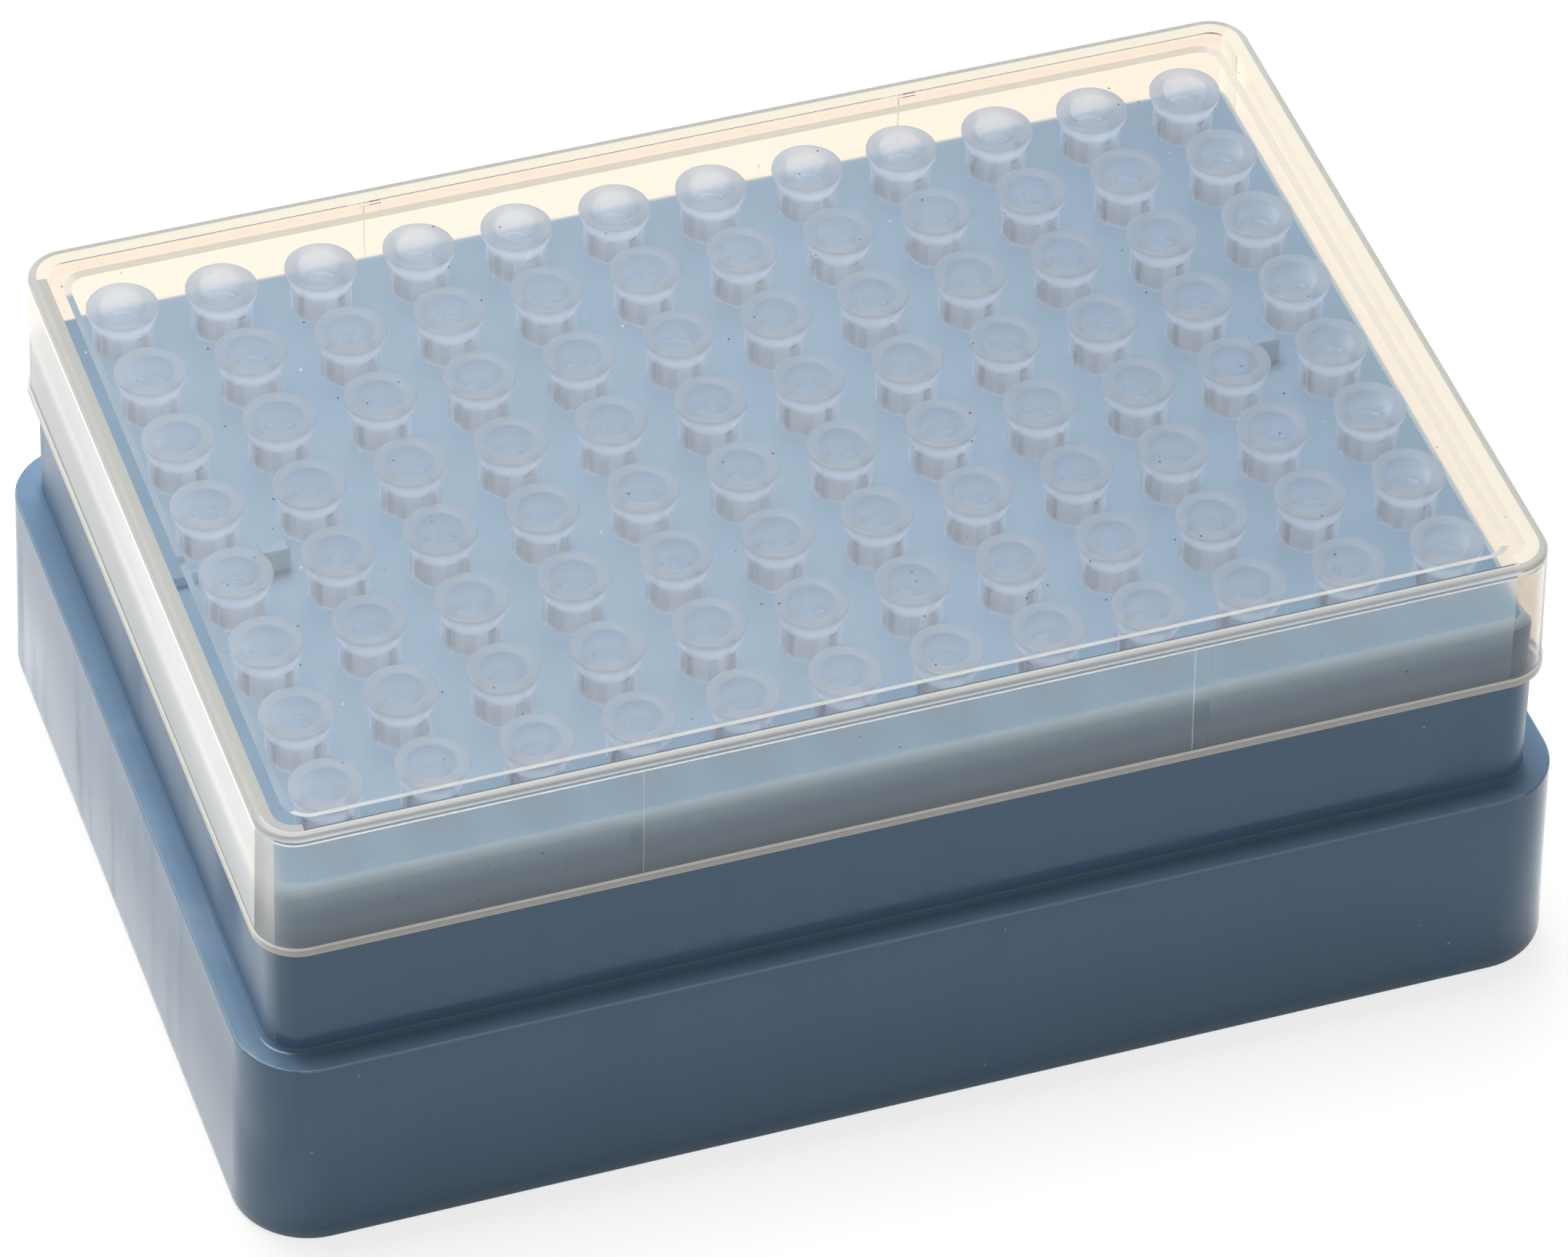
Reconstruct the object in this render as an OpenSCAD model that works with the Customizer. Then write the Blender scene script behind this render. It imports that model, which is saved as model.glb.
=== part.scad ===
// Box of pipette tips: a stepped base, a plate of seats that snaps into it,
// 96 tips in 12 columns, and a clear lid that lifts off. Millimetres.
// Long side along X, columns counted from -X, rows from +Y, bottom at z = 0.

/* [Tip grid] */
// Distance from tip to tip, both ways
pitch = 9; // [8.4:0.1:9.1]
// Tips along one column
rows = 8; // [2:1:8]

/* [Base] */
// Height of the upper wall over the ledge
upper_wall_height = 11.9; // [8:0.1:14]
// Lean of the skirt wall in degrees
skirt_draft = 1.5; // [0:0.1:2.5]
// Corner radius of the skirt at its foot
skirt_corner_r = 6.8; // [5:0.1:8]
// Thickness of the skirt wall
skirt_wall = 1.2; // [0.9:0.1:1.4]
// Width of the ledge between skirt and upper wall
ledge_width = 1.65; // [1.5:0.05:2.2]
// Thickness of the ledge
ledge_thickness = 1.6; // [1:0.1:2.5]
// Corner radius of the upper wall at the rim
rim_corner_r = 3.9; // [3.3:0.1:4.5]
// Lean of the upper wall in degrees
wall_draft = 0.85; // [0:0.05:1.2]
// Thickness of the upper wall
base_wall = 1.6; // [1.2:0.1:1.9]
// Height of the floor's underside, which clears the lid of a box below
floor_height = 5; // [4.6:0.1:6.5]
// Thickness of the floor
floor_thickness = 1.6; // [1:0.1:2.5]
// Gap between the floor and the ends of the tips
tip_clearance = 4.2; // [1:0.1:8]
// Radius between the floor and the wall inside
floor_fillet = 1.5; // [0.5:0.1:2]
// Thickness of the posts that carry the plate
post_thickness = 1.4; // [1:0.1:2.5]
// How far the posts stand in from the wall
post_depth = 2.2; // [1.8:0.1:2.6]

/* [Tip plate] */
// Distance from the outer columns' axes to the plate's short sides
deck_margin_x = 5.9; // [5.3:0.05:9]
// Distance from the outer rows' axes to the plate's long sides
deck_margin_y = 5.75; // [5.3:0.05:9]
// Height of the deck over the rim of the base
deck_rise = 6.1; // [4:0.1:7]
// Thickness of the deck
deck_thickness = 2; // [1.4:0.1:3]
// Thickness of the wall round the plate
plate_wall = 1.3; // [1:0.1:1.6]
// Gap between the plate and the inside of the base
plate_gap = 0.2; // [0.1:0.05:0.3]
// How deep the plate's wall reaches into the base
plate_depth = 5.7; // [4.5:0.1:8]
// Radius of the deck's outer edge
deck_edge_r = 1.2; // [0.4:0.1:1.6]
// Gap between a seat's hole and the tip in it
seat_gap = 0.15; // [0.05:0.05:0.2]
// Thickness of the stiffening ribs under the deck
rib_thickness = 1; // [0.6:0.1:1.6]
// Depth of the stiffening ribs under the deck
rib_depth = 3; // [1:0.1:5]
// Length of the two pegs on the deck
peg_length = 2.7; // [1.5:0.1:3]
// Width of the two pegs
peg_width = 1.7; // [1:0.1:2.4]
// Height of the two pegs
peg_height = 2.4; // [1:0.1:3.5]
// Depth of the pockets above the snap tongues
pocket_depth = 1; // [0.4:0.1:1.2]
// Length of the pockets
pocket_length = 2.9; // [1.5:0.1:3.2]
// Width of the pockets
pocket_width = 2.4; // [1:0.1:3]

/* [Snap tongues] */
// Width of a snap tongue
tongue_width = 6; // [4:0.1:9]
// Width of the slits beside a tongue
tongue_slit = 0.7; // [0.5:0.1:1.2]
// Height of the slits
tongue_height = 8.5; // [5:0.1:9]
// How far a tongue's hook stands out
hook_proud = 0.55; // [0.4:0.05:0.7]
// Height of the hook
hook_height = 1.4; // [1:0.1:2]
// Gap between the hook and its window in the base
hook_gap = 0.2; // [0.1:0.05:0.3]

/* [Tips] */
// Length of a tip
tip_length = 31.5; // [28:0.1:34.5]
// Diameter of the flared rim
tip_rim_d = 6.4; // [5.8:0.05:6.8]
// Diameter of the collar below the rim
tip_collar_d = 5.1; // [4.9:0.05:5.5]
// Height from the seat to the top of the rim
tip_collar_height = 4.5; // [3.5:0.1:4.8]
// Height over which the rim narrows to the collar
tip_flare_height = 1.8; // [1:0.1:2.4]
// Diameter of the body just below the seat
tip_body_d = 4.5; // [4:0.05:4.6]
// Diameter of the bore at its mouth
tip_mouth_d = 3.9; // [3.4:0.05:4.2]
// Wall of the body
tip_wall = 0.55; // [0.4:0.05:0.7]
// Diameter of the end
tip_end_d = 0.8; // [0.7:0.05:1.2]
// Bore at the end
tip_end_bore = 0.36; // [0.25:0.01:0.5]
// Number of ribs round the collar
tip_ribs = 8; // [4:1:12]
// Width of a collar rib
tip_rib_width = 0.8; // [0.5:0.05:1]
// How far a collar rib stands out
tip_rib_proud = 0.2; // [0.1:0.05:0.3]

/* [Lid] */
// Gap between the tips' rims and the lid's panel
lid_headroom = 0.85; // [0.3:0.05:4]
// Thickness of the lid's wall
lid_wall = 1.15; // [0.9:0.05:1.3]
// Lean of the lid's wall in degrees
lid_draft = 1.75; // [0:0.05:2]
// Thickness of the lid's top at its border
lid_top_thickness = 1.2; // [0.9:0.05:1.4]
// How much thicker the middle panel is
panel_extra = 0.45; // [0.2:0.05:0.6]
// Border between the panel and the lid's outer edge
panel_border = 3.05; // [2.5:0.05:5]
// Corner radius of the panel
panel_corner_r = 2.2; // [1:0.1:3.5]
// Radius of the lid's upper edge
lid_edge_r = 0.5; // [0.2:0.05:0.8]
// How far the bead at the hem stands out
hem_proud = 0.15; // [0.05:0.05:0.25]
// Height of the bead at the hem
hem_height = 0.8; // [0.4:0.1:1.5]
// Distance of the guide ribs from the middle
guide_place = 25; // [10:0.5:45]
// Width of a guide rib at the top
guide_width = 1.6; // [1:0.1:2.5]
// How far a guide rib stands in
guide_proud = 0.25; // [0.1:0.05:0.3]

/* [Hidden] */
columns = 12;
$fn = 48;

// Heights, built up from the floor
floor_top = floor_height + floor_thickness;
deck_height = floor_top + tip_clearance + tip_length - tip_collar_height;
rim_height = deck_height - deck_rise;
skirt_height = rim_height - upper_wall_height;
lid_under = deck_height + tip_collar_height + lid_headroom + panel_extra;
lid_top = lid_under + lid_top_thickness;
lid_height = lid_top - rim_height;

// Half sizes, built up from the tip grid outwards
plate_half = [columns - 1, rows - 1] * pitch / 2 + [deck_margin_x, deck_margin_y];
rim_half = plate_half + [1, 1] * (plate_gap + base_wall);
ledge_half = rim_half + [1, 1] * upper_wall_height * tan(wall_draft);
foot_half = ledge_half + [1, 1] * (ledge_width + skirt_height * tan(skirt_draft));
// Rectangle through the corner centres of the upper wall, the plate and the lid
core = rim_half - [1, 1] * rim_corner_r;
// Rectangle through the corner centres of the skirt
skirt_core = foot_half - [1, 1] * skirt_corner_r;

inner_draft = 0.3;
edge_r = 0.35;
wall_fillet = 0.5;
foot_proud = 0.1;
foot_height = 3;
lid_fillet = 0.4;
guide_taper = 0.78;
hook_rise = 1.2;
hook_lip = 0.5;
hook_root = 0.4;
overlap = 0.1;
ledge_under = skirt_height - ledge_thickness;
cavity_r = rim_corner_r - base_wall;
cavity_foot_r = cavity_r - (rim_height - floor_top) * tan(inner_draft);
skirt_top_r = skirt_corner_r - skirt_height * tan(skirt_draft);
tub_under_r = cavity_foot_r + base_wall;

plate_r = cavity_r - plate_gap;
seat_height = rim_height - plate_depth;
deck_under = deck_height - deck_thickness;
seat_r = tip_body_d / 2 + seat_gap;
hook_z = seat_height + hook_rise;

lid_top_r = rim_corner_r - lid_height * tan(lid_draft);

// Places of the posts and stiffeners along the long and the short sides, in pitches
post_columns = [-4, 0, 4];
post_rows = [-2, 2];
stiffener_columns = [-5, -3, -1, 1, 3, 5];
stiffener_rows = [-3, -1, 1, 3];

blue = [0.30, 0.43, 0.57];
lid_colour = [0.94, 0.92, 0.86, 0.35];
tip_colour = [0.80, 0.82, 0.88, 0.9];

// Names tip_column_01 to tip_column_12
function column_name(c) = str("tip_column_", c < 10 ? "0" : "", c);

// Points of an arc, from angle a0 to angle a1
function arc(centre, r, a0, a1, steps = 6) =
    [for (i = [0:steps]) centre + r * [cos(a0 + (a1 - a0) * i / steps), sin(a0 + (a1 - a0) * i / steps)]];

// X of a column and Y of a row
function column_x(c) = (c - (columns + 1) / 2) * pitch;
function row_y(r) = ((rows + 1) / 2 - r) * pitch;

// Sweeps a wall section round a rectangle with round corners. In the section, x is
// the distance outwards from the corner centres and y is the height.
module swept_wall(centres) {
    for (i = [0:3]) {
        run = i % 2 == 0 ? [centres.x, centres.y] : [centres.y, centres.x];
        rotate([0, 0, 90 * i]) {
            translate([0, run.y, 0]) rotate([90, 0, 90])
                linear_extrude(height = 2 * run.x, center = true) children();
            translate([run.x, run.y, 0]) rotate_extrude(angle = 90) children();
        }
    }
}

// Flat sheet with round corners
module sheet(centres, r, thickness) {
    linear_extrude(height = thickness) {
        square([2 * (centres.x + r), 2 * centres.y], center = true);
        square([2 * centres.x, 2 * (centres.y + r)], center = true);
        for (x = [-1, 1], y = [-1, 1]) translate([x * centres.x, y * centres.y]) circle(r = r);
    }
}

// Copies its children to both short ends, the second turned half round
module both_ends() {
    for (a = [0, 180]) rotate([0, 0, a]) children();
}

// Section of the skirt with its flared foot and the ledge
module skirt_section() {
    reach = rim_corner_r - base_wall / 2 + core.x - skirt_core.x;
    polygon(concat(
        [[skirt_corner_r - skirt_wall, 0]],
        arc([skirt_corner_r + foot_proud - edge_r / 2, edge_r / 2], edge_r / 2, -90, 0, 3),
        [[skirt_corner_r - foot_height * tan(skirt_draft), foot_height]],
        arc([skirt_top_r - edge_r, skirt_height - edge_r], edge_r, 0, 90, 4),
        [[reach, skirt_height], [reach, ledge_under],
         [skirt_corner_r - skirt_wall - ledge_under * tan(skirt_draft), ledge_under]]
    ));
}

// Section of the upper wall down to the floor, with the fillet on the ledge
module tub_section() {
    ledge_r = rim_corner_r + upper_wall_height * tan(wall_draft);
    polygon(concat(
        [[rim_corner_r, rim_height], [cavity_r, rim_height]],
        [[cavity_foot_r + floor_fillet * tan(inner_draft), floor_top + floor_fillet]],
        arc([cavity_foot_r - floor_fillet, floor_top + floor_fillet], floor_fillet, 0, -90, 5),
        [[cavity_foot_r - floor_fillet, floor_height + floor_thickness / 2],
         [cavity_foot_r - floor_fillet, floor_height],
         [tub_under_r - edge_r, floor_height], [tub_under_r, floor_height + edge_r],
         [tub_under_r, ledge_under], [ledge_r + wall_fillet, ledge_under],
         [ledge_r + wall_fillet, skirt_height]],
        arc([ledge_r + wall_fillet, skirt_height + wall_fillet], wall_fillet, 270, 180, 5)
    ));
}

// Posts inside the base that carry the plate's wall
module plate_posts() {
    length = post_depth + base_wall / 2;
    bottom = floor_height + floor_thickness / 2;
    both_ends() {
        for (x = post_columns)
            translate([x * pitch - post_thickness / 2, core.y + cavity_r - post_depth, bottom])
                cube([post_thickness, length, seat_height - bottom]);
        for (y = post_rows)
            translate([core.x + cavity_r - post_depth, y * pitch - post_thickness / 2, bottom])
                cube([length, post_thickness, seat_height - bottom]);
    }
}

// Short ribs that tie the skirt to the inner wall
module skirt_stiffeners() {
    inner = core + [1, 1] * (rim_corner_r - base_wall / 2);
    length = skirt_core + [1, 1] * (skirt_top_r - skirt_wall / 2) - inner;
    height = skirt_height - ledge_thickness / 2 - floor_top;
    both_ends() {
        for (x = stiffener_columns)
            translate([x * pitch - rib_thickness / 2, inner.y, floor_top])
                cube([rib_thickness, length.y, height]);
        for (y = stiffener_rows)
            translate([inner.x, y * pitch - rib_thickness / 2, floor_top])
                cube([length.x, rib_thickness, height]);
    }
}

// Windows in the wall that catch the plate's hooks
module hook_windows() {
    both_ends()
        translate([core.x + cavity_r - 1, -tongue_width / 2 - hook_gap, hook_z - hook_gap])
            cube([1 + hook_proud - plate_gap + hook_gap, tongue_width + 2 * hook_gap,
                  hook_height + 2 * hook_gap]);
}

module base() {
    color(blue) difference() {
        union() {
            swept_wall(skirt_core) skirt_section();
            swept_wall(core) tub_section();
            translate([0, 0, floor_height])
                sheet(core, cavity_foot_r - floor_fillet + overlap, floor_thickness);
            plate_posts();
            skirt_stiffeners();
        }
        hook_windows();
    }
}

// Section of the plate's wall with the rounded edge of the deck
module plate_section() {
    inner = plate_r - plate_wall;
    polygon(concat(
        [[inner, deck_under], [inner, seat_height], [plate_r, seat_height]],
        arc([plate_r - deck_edge_r, deck_height - deck_edge_r], deck_edge_r, 0, 90, 6),
        [[overlap, deck_height], [overlap, deck_under]]
    ));
}

// Ribs under the deck, between the rows and between the columns
module deck_ribs() {
    depth = rib_depth + deck_thickness / 2;
    reach = core + [1, 1] * (plate_r - plate_wall / 2);
    for (c = [1:columns - 1])
        translate([column_x(c + 0.5), 0, deck_under - rib_depth + depth / 2])
            cube([rib_thickness, 2 * reach.y, depth], center = true);
    for (r = [1:rows - 1])
        translate([0, row_y(r + 0.5), deck_under - rib_depth + depth / 2])
            cube([2 * reach.x, rib_thickness, depth], center = true);
}

// Two pegs between the first and last pairs of columns
module deck_pegs() {
    both_ends()
        translate([column_x(columns - 0.5), 0, deck_height - deck_thickness / 2])
            linear_extrude(height = deck_thickness / 2 + peg_height)
                square([peg_length, peg_width], center = true);
}

// Slits that free the snap tongues, and the shallow pockets above them
module tongue_cuts() {
    both_ends() {
        for (side = [-1, 1])
            translate([core.x + plate_r - plate_wall - 1,
                       side * (tongue_width + tongue_slit) / 2 - tongue_slit / 2, seat_height - 1])
                cube([plate_wall + 2, tongue_slit, tongue_height + 1]);
        translate([core.x + plate_r - plate_wall - pocket_length, -pocket_width / 2,
                   deck_height - pocket_depth])
            cube([pocket_length, pocket_width, pocket_depth + 1]);
    }
}

// Wedge hooks on the snap tongues
module tongue_hooks() {
    both_ends()
        translate([core.x + plate_r, tongue_width / 2, hook_z]) rotate([90, 0, 0])
            linear_extrude(height = tongue_width)
                polygon([[-hook_root, 0], [0, 0], [hook_proud, hook_height - hook_lip],
                         [hook_proud, hook_height], [-hook_root, hook_height]]);
}

module tip_plate() {
    color(blue) {
        difference() {
            union() {
                swept_wall(core) plate_section();
                translate([0, 0, deck_under]) sheet(core, plate_r - plate_wall, deck_thickness);
                deck_ribs();
                deck_pegs();
            }
            for (c = [1:columns], r = [1:rows])
                translate([column_x(c), row_y(r), deck_under - 1])
                    cylinder(r = seat_r, h = deck_thickness + 2);
            tongue_cuts();
        }
        tongue_hooks();
    }
}

// Half section of a tip, with its seat at z = 0
module tip_section() {
    rim_r = tip_rim_d / 2;
    collar_r = tip_collar_d / 2;
    body_r = tip_body_d / 2;
    mouth_r = tip_mouth_d / 2;
    top = tip_collar_height;
    end = top - tip_length;
    flare = top - tip_flare_height;
    polygon([
        [mouth_r, top - 0.1], [mouth_r + 0.1, top], [rim_r - 0.2, top], [rim_r, top - 0.2],
        [rim_r, top - 0.5], [rim_r - 0.12, top - 0.9],
        [(rim_r + collar_r) / 2, (top + flare) / 2 - 0.3], [collar_r + 0.08, flare + 0.1],
        [collar_r, flare - 0.2], [collar_r, 0], [body_r, 0], [body_r - 0.05, -1.5],
        [tip_end_d / 2, end], [tip_end_bore / 2, end],
        [body_r - tip_wall - 0.3, -1.5], [body_r - tip_wall - 0.1, top - 2.4],
        [mouth_r - 0.25, top - 2.2], [mouth_r - 0.2, top - 0.5]
    ]);
}

// One tip with the ribs round its collar
module tip() {
    rotate_extrude() tip_section();
    rib_top = tip_collar_height - tip_flare_height;
    for (i = [0:tip_ribs - 1])
        rotate([0, 0, (i + 0.5) * 360 / tip_ribs])
            translate([tip_collar_d / 2 - 0.2, -tip_rib_width / 2, 0])
                cube([0.2 + tip_rib_proud, tip_rib_width, rib_top]);
}

module tip_column(c) {
    color(tip_colour)
        for (r = [1:rows]) translate([column_x(c), row_y(r), deck_height]) tip();
}

// Section of the lid's wall with the hem bead and the rounded upper edge
module lid_section() {
    slope = tan(lid_draft);
    inner_hem = rim_corner_r - lid_wall;
    inner_top = inner_hem - (lid_height - lid_top_thickness) * slope;
    polygon(concat(
        [[inner_hem, rim_height], [rim_corner_r + hem_proud, rim_height],
         [rim_corner_r + hem_proud, rim_height + hem_height - hem_proud],
         [rim_corner_r - hem_height * slope, rim_height + hem_height]],
        arc([lid_top_r - lid_edge_r, lid_top - lid_edge_r], lid_edge_r, 0, 90, 5),
        [[overlap, lid_top], [overlap, lid_under]],
        arc([inner_top - lid_fillet, lid_under - lid_fillet], lid_fillet, 90, 0, 3)
    ));
}

// Guide ribs on the inside of the front and back walls, narrower towards the hem
module guide_ribs() {
    slope = tan(lid_draft);
    inner = core.y + rim_corner_r - lid_wall;
    rib_h = lid_height - lid_top_thickness / 2;
    narrow = guide_width * guide_taper;
    both_ends()
        for (x = [-1, 1])
            translate([x * guide_place, 0, rim_height])
                intersection() {
                    rotate([90, 0, 90]) linear_extrude(height = guide_width, center = true)
                        polygon([[inner - guide_proud, 0], [inner + lid_wall / 2, 0],
                                 [inner + lid_wall / 2 - rib_h * slope, rib_h],
                                 [inner - guide_proud - rib_h * slope, rib_h]]);
                    translate([0, inner + lid_wall, 0]) rotate([90, 0, 0])
                        linear_extrude(height = 3 * lid_wall + 2)
                            polygon([[-narrow / 2, 0], [narrow / 2, 0],
                                     [guide_width / 2, rib_h], [-guide_width / 2, rib_h]]);
                }
}

module lid() {
    panel_core = core + [1, 1] * (lid_top_r - panel_border - panel_corner_r);
    color(lid_colour) {
        swept_wall(core) lid_section();
        translate([0, 0, lid_under]) sheet(core, 5 * overlap, lid_top_thickness);
        translate([0, 0, lid_under - panel_extra])
            sheet(panel_core, panel_corner_r, panel_extra + lid_top_thickness / 2);
        guide_ribs();
    }
}

base();
tip_plate();
lid();
for (c = [1:columns])
    tip_column(c);
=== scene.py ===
"""A box of pipette tips: stepped blue base, plate of seats, 96 milky tips and a clear lid."""
import math
import random

import bmesh
import bpy
from mathutils import Euler, Matrix, Vector

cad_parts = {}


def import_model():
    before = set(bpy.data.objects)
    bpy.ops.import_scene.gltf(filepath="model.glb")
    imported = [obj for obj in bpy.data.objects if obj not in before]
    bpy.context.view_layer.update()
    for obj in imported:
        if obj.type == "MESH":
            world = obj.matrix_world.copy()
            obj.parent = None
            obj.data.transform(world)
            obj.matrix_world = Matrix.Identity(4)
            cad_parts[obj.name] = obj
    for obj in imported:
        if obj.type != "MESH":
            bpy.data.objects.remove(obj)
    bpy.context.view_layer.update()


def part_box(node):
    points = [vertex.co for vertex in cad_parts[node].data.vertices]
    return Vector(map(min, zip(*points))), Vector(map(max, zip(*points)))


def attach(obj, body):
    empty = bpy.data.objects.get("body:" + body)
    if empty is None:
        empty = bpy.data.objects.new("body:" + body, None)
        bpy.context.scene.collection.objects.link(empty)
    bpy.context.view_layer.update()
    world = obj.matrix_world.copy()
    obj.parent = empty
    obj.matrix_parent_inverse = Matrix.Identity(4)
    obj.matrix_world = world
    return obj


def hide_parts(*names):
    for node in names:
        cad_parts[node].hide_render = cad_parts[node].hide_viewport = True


MM = 0.001
TINY = 1e-6
BOTH = Vector((1, 1))

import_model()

# ---------------------------------------------------------------- sizes of the moulded pieces

base_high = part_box("base")[1]
lid_low, lid_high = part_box("lid")
plate_low, plate_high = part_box("tip_plate")
COLUMNS, ROWS = 12, 8
PITCH = 9.0 * MM
column_boxes = [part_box("tip_column_%02d" % c) for c in range(1, COLUMNS + 1)]

# Base: skirt, ledge, upper wall and raised floor
FOOT_PROUD = 0.1 * MM
FOOT_HALF = Vector((base_high.x - FOOT_PROUD, base_high.y - FOOT_PROUD))
FOOT_HEIGHT = 3.0 * MM
FOOT_BAND = 0.4 * MM
FOOT_LEAN = 0.8 * MM
FOOT_R = 0.5 * MM
SKIRT_R = 6.8 * MM
SKIRT_SEGMENTS = 14
SKIRT_WALL = 1.2 * MM
SKIRT_SLOPE = math.tan(math.radians(1.5))
LEDGE_Z = 19.8 * MM
LEDGE_WIDTH = 1.65 * MM
LEDGE_THICK = 1.6 * MM
LEDGE_FILLET = 0.5 * MM
LEDGE_JOIN = LEDGE_THICK * 0.9
RIM_Z = base_high.z
RIM_R = 3.9 * MM
WALL_SLOPE = math.tan(math.radians(0.85))
INNER_SLOPE = math.tan(math.radians(0.3))
BASE_WALL = 1.6 * MM
FLOOR_Z = 5.0 * MM
FLOOR_THICK = 1.6 * MM
FLOOR_ROUND = 1.5 * MM
EDGE_R = 0.22 * MM

# Ribs and posts that join skirt, tub and plate, with their places in pitches from the middle
RIB_THICK = 1.0 * MM
RIB_DEPTH = 3.0 * MM
STIFFENERS_X, STIFFENERS_Y = (-5, -3, -1, 1, 3, 5), (-3, -1, 1, 3)
POST_THICK = 1.4 * MM
POST_DEPTH = 2.2 * MM
POSTS_X, POSTS_Y = (-4, 0, 4), (-2, 2)

# Lid: walls, the rings of its top from the edge inwards, hem, panel and guide ribs
LID_TOP_Z = lid_high.z
LID_WALL = 1.15 * MM
LID_TOP = 1.2 * MM
LID_SLOPE = math.tan(math.radians(1.75))
LID_SHRINK = (lid_high.z - lid_low.z) * LID_SLOPE
LID_EDGE_R = 0.4 * MM
LID_INNER_R = 0.4 * MM
LID_CAP = 0.15 * MM
LID_BAND = 0.12 * MM
LID_LINE = 0.22 * MM
LID_BRIM = 0.81 * MM
LID_DEPTH = 0.39 * MM
LID_SEGMENTS = 12
LID_SMOOTH_ANGLE = 31
HEM_PROUD = 0.15 * MM
HEM_HEIGHT = 0.8 * MM
HEM_HALF = Vector((lid_high.x - HEM_PROUD, lid_high.y - HEM_PROUD))
PANEL_BORDER = 3.05 * MM
PANEL_EXTRA = 0.45 * MM
PANEL_SLOPE = 0.65 * MM
PANEL_ROOT = 0.3 * MM
PANEL_R = 2.4 * MM
PANEL_SEGMENTS = 8
GUIDE_X = 25.0 * MM
GUIDE_WIDTH = 1.6 * MM
GUIDE_CUT = 0.45 * GUIDE_WIDTH
GUIDE_PROUD = 0.25 * MM
GUIDE_LEAN = 0.01
TOP_RING_AREA, PANEL_AREA = 4e-4, 1e-3

# Plate: deck, wall, pegs, pockets, seats and snap tongues
PLATE_GAP = 0.2 * MM
PLATE_WALL = 1.3 * MM
PLATE_R = RIM_R - BASE_WALL - PLATE_GAP
PLATE_HALF = HEM_HALF - BOTH * (BASE_WALL + PLATE_GAP)
PEG_HEIGHT = 2.4 * MM
PEG_SIZE = Vector((2.7, 1.7)) * MM
PEG_EDGE_R = 0.25 * MM
PEG_ROOT = 0.4 * MM
PEG_ROUND_SHARE = 0.1
PEG_COLUMN = 5
DECK_Z = plate_high.z - PEG_HEIGHT
DECK_THICK = 2.0 * MM
DECK_EDGE_R = 1.2 * MM
POCKET_LENGTH = 2.9 * MM
POCKET_WIDTH = 2.4 * MM
POCKET_DEPTH = 1.0 * MM
SEAT_R = 2.4 * MM
SEAT_CUT = 8 * MM
TONGUE_WIDTH = 6.0 * MM
TONGUE_SLIT = 0.7 * MM
TONGUE_HEIGHT = 8.5 * MM
HOOK_Z = plate_low.z + 1.2 * MM
HOOK_PROUD = 0.55 * MM
HOOK_HEIGHT = 1.4 * MM
HOOK_ROOT = 0.4 * MM
HOOK_LIP = 0.5 * MM
HOOK_GAP = 0.2 * MM

# Tips: radius and height over the seat in millimetres, up the outside and then down the bore
TIP_SECTION = [
    (0.40, -27.0), (0.62, -22.0), (1.15, -14.0), (1.75, -7.0), (2.15, -1.6), (2.25, -0.25),
    (2.28, 0.0), (2.52, 0.0), (2.55, 0.06), (2.55, 2.45), (2.58, 2.7), (2.72, 3.05),
    (2.92, 3.4), (3.09, 3.75), (3.18, 4.05), (3.2, 4.3), (3.16, 4.42), (3.06, 4.48),
    (2.9, 4.5), (2.2, 4.5), (2.02, 4.44), (1.93, 4.3), (1.80, 3.95), (1.72, 3.2),
    (1.68, 2.35), (1.55, 2.2), (1.52, 2.1), (1.44, -1.6), (0.9, -12.0), (0.2, -27.0),
]
TIP_SIDES = 40
TIP_SMOOTH_ANGLE = 40
COLLAR_LOW, COLLAR_HIGH = 0.06 * MM, 2.45 * MM
COLLAR_INSIDE = 2.4 * MM
COLLAR_RIB_PROUD = 0.17 * MM
RIB_SIDES, RIB_WIDTH = 5, 2
RIM_LOW, RIM_INSIDE = 4.3 * MM, 2.0 * MM
# The part of the bore's step that carries the painted highlight.
STEP_LOW, STEP_HIGH, STEP_OUTSIDE = 2.2 * MM, 2.35 * MM, 1.7 * MM
STEP_WAY, STEP_REACH = (0.33, 0.94), 0.75
TIP_TILT, TIP_TURN, TIP_SHIFT = 0.004, 6.28, 0.04
TIP_SEED = 7

# The finishes of each piece, in the order of its materials
BASE_BLUE, EDGE_HIGHLIGHT, PAINTED_REFLECTION_WALL = range(3)
PLATE_BLUE, PEG_PAINTED_LIGHT, DECK_EDGE_HIGHLIGHT = range(3)
MILKY, MILKY_RIM, BORE_STEP_HIGHLIGHT = range(3)
(POLISHED, CLOUDY, FROSTED, THICK_EDGE, STEP, CORNER, FAR_WALL, DEEP_WALL, SHORT_WALL, PAINTED_LIGHT_EDGE,
 BRIGHT_LINE, CREAM_WALL, FAR_STEP, BACK_WALL, HEM, BRIM, GUIDE_EDGE, FRONT_WALL, INNER_FILLET,
 LEFT_STEP) = range(20)


# ---------------------------------------------------------------- modelling by hand

def start():
    """Goes to object mode and deselects everything, ready for a new primitive."""
    if bpy.context.mode != "OBJECT":
        bpy.ops.object.mode_set(mode="OBJECT")
    bpy.ops.object.select_all(action="DESELECT")


def choose(piece):
    """Makes the piece the one that is selected and active."""
    start()
    piece.select_set(True)
    bpy.context.view_layer.objects.active = piece


def add_cube(size, place):
    """Adds a block of one size about one place, with its scale applied."""
    start()
    bpy.ops.mesh.primitive_cube_add(size=1, location=place)
    piece = bpy.context.object
    piece.scale = size
    bpy.ops.object.transform_apply(location=True, rotation=True, scale=True)
    return piece


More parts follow.
